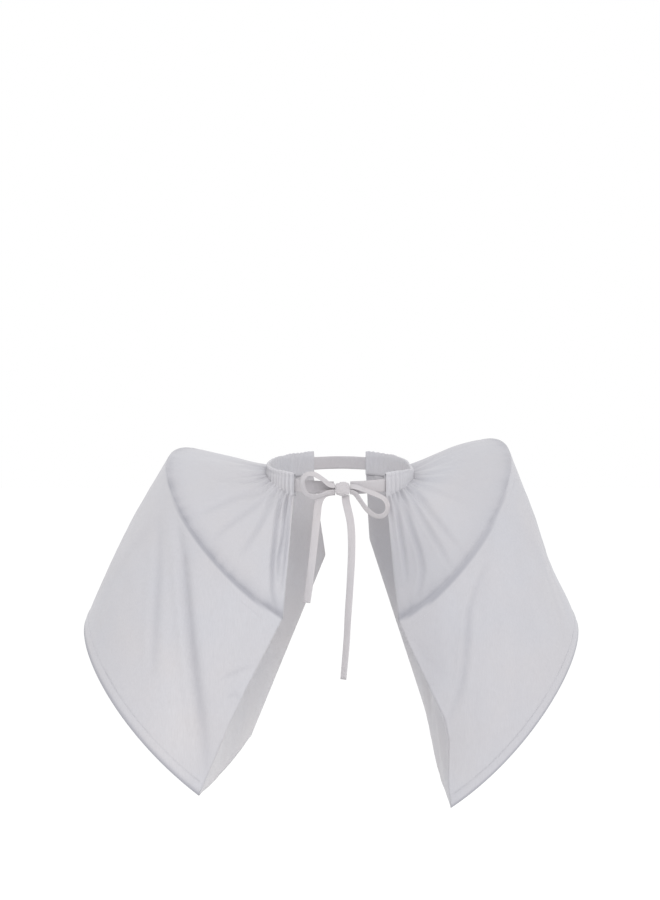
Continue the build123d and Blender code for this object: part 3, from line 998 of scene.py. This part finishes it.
def build_band():
    """Band round the waist, left open where the knot holds its two ends."""
    angle = -math.pi / 2 + np.linspace(0, 2 * math.pi, 361)
    points = ring_point(angle)
    beside_knot = np.abs(points[:, 0] - KNOT_MIDDLE[0]) > KNOT_HALF[0]
    angle = angle[beside_knot | (points[:, 1] > 0)]
    half = BAND_HEIGHT / 2
    heights = np.linspace(-half, half, 9)
    rows = []
    for face, order in ((1, heights), (-1, heights[::-1])):
        for height in order:
            thinned = 0.15 * (abs(height) > half - 0.5)
            slack = 0.25 * np.sin(9 * angle) + 0.2 * np.sin(23 * angle + height * 0.1)
            out = face * (BAND_THICKNESS / 2 - thinned) + 0.4 * slack
            rows.append(ring_point(angle, out, height + 0.3 * slack))
    piece = grid_mesh("waist_band_tape", np.stack(rows + rows[:1]))
    close_tube(piece)
    dress(piece, material_for("band"))
    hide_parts("waistband")


def route_curve(name, route):
    """Smooth centre line of a tape, with the route's points as its control points."""
    curve = bpy.data.curves.new(name, "CURVE")
    curve.dimensions = "3D"
    spline = curve.splines.new("NURBS")
    spline.points.add(len(route) - 1)
    for point, (x, y, z) in zip(spline.points, route):
        point.co = (x * MM, y * MM, z * MM, 1)
    spline.order_u = 3
    spline.use_endpoint_u = True
    spline.resolution_u = 12
    holder = link(bpy.data.objects.new(name, curve))
    bpy.context.view_layer.update()
    mesh = bpy.data.meshes.new_from_object(holder.evaluated_get(bpy.context.evaluated_depsgraph_get()))
    points = np.array([v.co for v in mesh.vertices]) / MM
    bpy.data.objects.remove(holder)
    bpy.data.curves.remove(curve)
    bpy.data.meshes.remove(mesh)
    return points


def tape_mesh(name, path, angle, curl):
    """Woven tape along a path, turned by an angle at each point, with thin selvedges."""
    tangent = unit(np.gradient(path, axis=0))
    across = unit(np.cross(np.array([0.0, 1.0, 0.0]), tangent))
    face = np.cross(tangent, across)
    share = np.linspace(0, 1, len(path))
    cos, sin = np.cos(angle)[:, None], np.sin(angle)[:, None]
    width_way, up_way = across * cos + face * sin, face * cos - across * sin
    thickness = bow_settings().tape_thickness / MM
    under_face = [(mark, -rise) for mark, rise in TAPE_FACE[-2::-1]]
    rows = []
    for mark, rise in [*TAPE_FACE, *under_face]:
        ripple = 0.25 * np.sin(share * 37.0 + mark)[:, None] * abs(mark)
        lift = rise * thickness + curl * (mark ** 2 - 0.35) + ripple
        rows.append(path + width_way * (TIE_WIDTH / 2 * mark) + up_way * lift)
    piece = grid_mesh(name, np.stack(rows))
    close_tube(piece)
    dress(piece, material_for("tape"))
    return piece


def build_loops():
    lean = math.pi / 2 - bow_settings().loop_lean
    for side in SIDE_SIGN:
        path = route_curve(f"{side}_loop_line", LOOP_ROUTES[side])
        piece = tape_mesh(f"{side}_loop_tape", path, np.full(len(path), lean), 0.5)
        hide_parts(f"bow_{side}_loop")


def build_tails():
    for side in SIDE_SIGN:
        path = route_curve(f"{side}_tail_line", TAIL_ROUTES[side])
        turn, start, power = TAIL_TWIST[side]
        twist = turn * np.clip(np.linspace(0, 1, len(path)) - start, 0, 1) ** power
        piece = tape_mesh(f"{side}_tail_tape", path, twist, 0.8)
        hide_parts(f"{side}_tail")


def rounded(values):
    """Swells a sine or cosine, so that the knot is fuller than a ball."""
    return np.sign(values) * np.abs(values) ** 0.62


def knot_body():
    """Knot with its creases, pinched in the middle."""
    polar = np.linspace(0.02, math.pi - 0.02, 60)[:, None]
    around = np.linspace(0, 2 * math.pi, 80, endpoint=False)[None]
    x = rounded(np.cos(polar)) * np.ones_like(around)
    y = rounded(np.sin(polar)) * rounded(np.cos(around))
    z = rounded(np.sin(polar)) * rounded(np.sin(around))
    crease = 1 - 0.09 * np.cos(around * 5 + 4 * x) * np.abs(x) ** 0.7 - 0.05 * np.cos(around * 9 - 3 * x)
    pinch = 1 - 0.16 * bump_line(x, 0.35)
    body = np.stack([x, y * crease * pinch, z * crease * pinch], axis=-1)
    return grid_mesh("knot_body", body * np.array(KNOT_HALF) + np.array(KNOT_MIDDLE), closed=True)


def knot_wrap():
    """Turn of tape over the front of the knot."""
    middle = np.array(KNOT_MIDDLE)
    turn = np.linspace(-1.9, 1.9, 41)
    forward = 0.6 - 12.4 * np.clip(np.cos(turn), 0, None)
    path = middle + np.stack([0.3 * np.sin(turn), forward, 11.2 * np.sin(turn)], axis=-1)
    normal = unit(path - middle)
    marks = np.linspace(-1, 1, 13)
    rows = []
    for mark in marks:
        rise = 0.7 * (1 - abs(mark) ** 3) + 0.25 * np.cos(mark * 9)
        rows.append(path + np.array([5.6 * mark + 0.5, 0, 0]) + normal * rise)
    for mark in marks[::-1]:
        rows.append(path + np.array([5.4 * mark + 0.5, 0, 0]) - normal * 0.8)
    return grid_mesh("knot_wrap", np.stack(rows + rows[:1]))


def build_knot():
    knot, wrap = knot_body(), knot_wrap()
    for piece in (knot, wrap):
        close_tube(piece)
        dress(piece, material_for("tape"))
    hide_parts("bow_knot")


# Steels and their tips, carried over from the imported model

def finish_metal():
    finishes = {
        "steel": ("upper_hoop", "hem_hoop"),
        "tip": ("upper_front_tip", "upper_back_tip", "hem_front_tip", "hem_back_tip"),
    }
    for side in SIDE_SIGN:
        for finish, names in finishes.items():
            for name in names:
                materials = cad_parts[f"{side}_{name}"].data.materials
                materials.clear()
                materials.append(material_for(finish))


# Stage

def area_light(name, place, size, power):
    data = bpy.data.lights.new(name, "AREA")
    data.shape = "RECTANGLE"
    data.size, data.size_y = size, size
    data.energy = power
    lamp = link(bpy.data.objects.new(name, data))
    lamp.location = place
    lamp.rotation_euler = (Vector(LIGHT_AIM) - Vector(place)).to_track_quat("-Z", "Y").to_euler()


def build_camera():
    camera = link(bpy.data.objects.new("Camera", bpy.data.cameras.new("Camera")))
    camera.location = CAMERA_PLACE
    camera.rotation_euler = (math.pi / 2, 0, 0)
    camera.data.lens = CAMERA_LENS
    camera.data.sensor_width = CAMERA_SENSOR
    camera.data.clip_end = CAMERA_REACH
    bpy.context.scene.camera = camera


def build_surround(strength):
    world = bpy.data.worlds.new("White surround")
    world.use_nodes = True
    background = world.node_tree.nodes["Background"]
    background.inputs["Color"].default_value = WHITE
    background.inputs["Strength"].default_value = strength
    bpy.context.scene.world = world
    bpy.context.scene.view_settings.view_transform = "Standard"


def build_floor(height):
    mesh = bpy.data.meshes.new("Floor")
    corners = [(x * FLOOR_HALF, y * FLOOR_HALF, height) for x, y in ((-1, -1), (1, -1), (1, 1), (-1, 1))]
    mesh.from_pydata(corners, [], [(0, 1, 2, 3)])
    floor = link(bpy.data.objects.new("Floor", mesh))
    material, shader, _ = new_material("Pale floor")
    set_inputs(shader, {
        "Base Color": FLOOR_COLOUR, "Roughness": 1.0, "Specular IOR Level": 0.0,
        "Emission Color": WHITE, "Emission Strength": FLOOR_GLOW})
    mesh.materials.append(material)


def build_stage():
    stage = bpy.context.scene.pannier_stage
    build_camera()
    build_surround(stage.surround)
    build_floor(stage.floor_height)
    for name, place, size, share in LIGHTS:
        area_light(name, place, size, stage.key_power * share)


class PANNIER_OT_stage(bpy.types.Operator):
    """Camera, white surround, pale floor and soft lights"""
    bl_idname = "pannier.stage"
    bl_label = "Stage"

    def execute(self, context):
        build_stage()
        return {"FINISHED"}


class PANNIER_OT_bow_loops(bpy.types.Operator):
    """The two loops of the bow"""
    bl_idname = "pannier.bow_loops"
    bl_label = "Bow loops"

    def execute(self, context):
        build_loops()
        return {"FINISHED"}


class PANNIER_OT_bow_tails(bpy.types.Operator):
    """The two hanging tails of the bow"""
    bl_idname = "pannier.bow_tails"
    bl_label = "Bow tails"

    def execute(self, context):
        build_tails()
        return {"FINISHED"}


class PANNIER_OT_knot(bpy.types.Operator):
    """The knot and the turn of tape over it"""
    bl_idname = "pannier.knot"
    bl_label = "Knot"

    def execute(self, context):
        build_knot()
        return {"FINISHED"}


class PANNIER_OT_waist_band(bpy.types.Operator):
    """The woven band round the waist"""
    bl_idname = "pannier.waist_band"
    bl_label = "Waist band"

    def execute(self, context):
        build_band()
        return {"FINISHED"}


class PANNIER_OT_outer_covers(bpy.types.Operator):
    """The outer cloth of both panniers, with its gathered headings"""
    bl_idname = "pannier.outer_covers"
    bl_label = "Outer covers"

    def execute(self, context):
        for side in SIDE_SIGN:
            build_cover(side)
        return {"FINISHED"}


class PANNIER_OT_inner_panels(bpy.types.Operator):
    """The cloth of both panniers against the hips"""
    bl_idname = "pannier.inner_panels"
    bl_label = "Inner panels"

    def execute(self, context):
        for side in SIDE_SIGN:
            build_panel(side)
        return {"FINISHED"}


class PANNIER_OT_casings(bpy.types.Operator):
    """The tape casings that hold the steels"""
    bl_idname = "pannier.casings"
    bl_label = "Casings"

    def execute(self, context):
        for side in SIDE_SIGN:
            drop, width, gap = UPPER_CASING
            build_casing(side, "upper", drop, drop + width, gap)
            edge, width, gap = HEM_CASING
            build_casing(side, "hem", panel_drop(side) - edge - width, panel_drop(side) - edge, gap)
        return {"FINISHED"}


class PANNIER_OT_stitching(bpy.types.Operator):
    """Rows of stitches along the casings"""
    bl_idname = "pannier.stitching"
    bl_label = "Stitching"

    def execute(self, context):
        for side in SIDE_SIGN:
            build_stitching(side)
        return {"FINISHED"}


class PANNIER_OT_steels(bpy.types.Operator):
    """Metal finish of the hoops and their tips"""
    bl_idname = "pannier.steels"
    bl_label = "Steels"

    def execute(self, context):
        finish_metal()
        return {"FINISHED"}


OPERATORS = (
    PANNIER_OT_stage, PANNIER_OT_bow_loops, PANNIER_OT_bow_tails, PANNIER_OT_knot, PANNIER_OT_waist_band,
    PANNIER_OT_outer_covers, PANNIER_OT_inner_panels, PANNIER_OT_casings, PANNIER_OT_stitching,
    PANNIER_OT_steels,
)


class PANNIER_PT_panel(bpy.types.Panel):
    """Pieces and settings of the panniers"""
    bl_idname = "PANNIER_PT_panel"
    bl_label = "Pannier side hoops"
    bl_space_type = "VIEW_3D"
    bl_region_type = "UI"
    bl_category = "Panniers"

    def draw(self, context):
        layout = self.layout
        for settings in (context.scene.pannier_cloth, context.scene.pannier_bow, context.scene.pannier_stage):
            box = layout.box()
            for name in settings.__annotations__:
                box.prop(settings, name)
        for operator in OPERATORS:
            layout.operator(operator.bl_idname)


CLASSES = (PannierClothSettings, PannierBowSettings, PannierStageSettings, *OPERATORS, PANNIER_PT_panel)


def register():
    for cls in CLASSES:
        bpy.utils.register_class(cls)
    bpy.types.Scene.pannier_cloth = bpy.props.PointerProperty(type=PannierClothSettings)
    bpy.types.Scene.pannier_bow = bpy.props.PointerProperty(type=PannierBowSettings)
    bpy.types.Scene.pannier_stage = bpy.props.PointerProperty(type=PannierStageSettings)


def unregister():
    del bpy.types.Scene.pannier_stage
    del bpy.types.Scene.pannier_bow
    del bpy.types.Scene.pannier_cloth
    for cls in reversed(CLASSES):
        bpy.utils.unregister_class(cls)


def main():
    register()
    for operator in OPERATORS:
        group, name = operator.bl_idname.split(".")
        getattr(getattr(bpy.ops, group), name)()


if __name__ == "__main__":
    main()
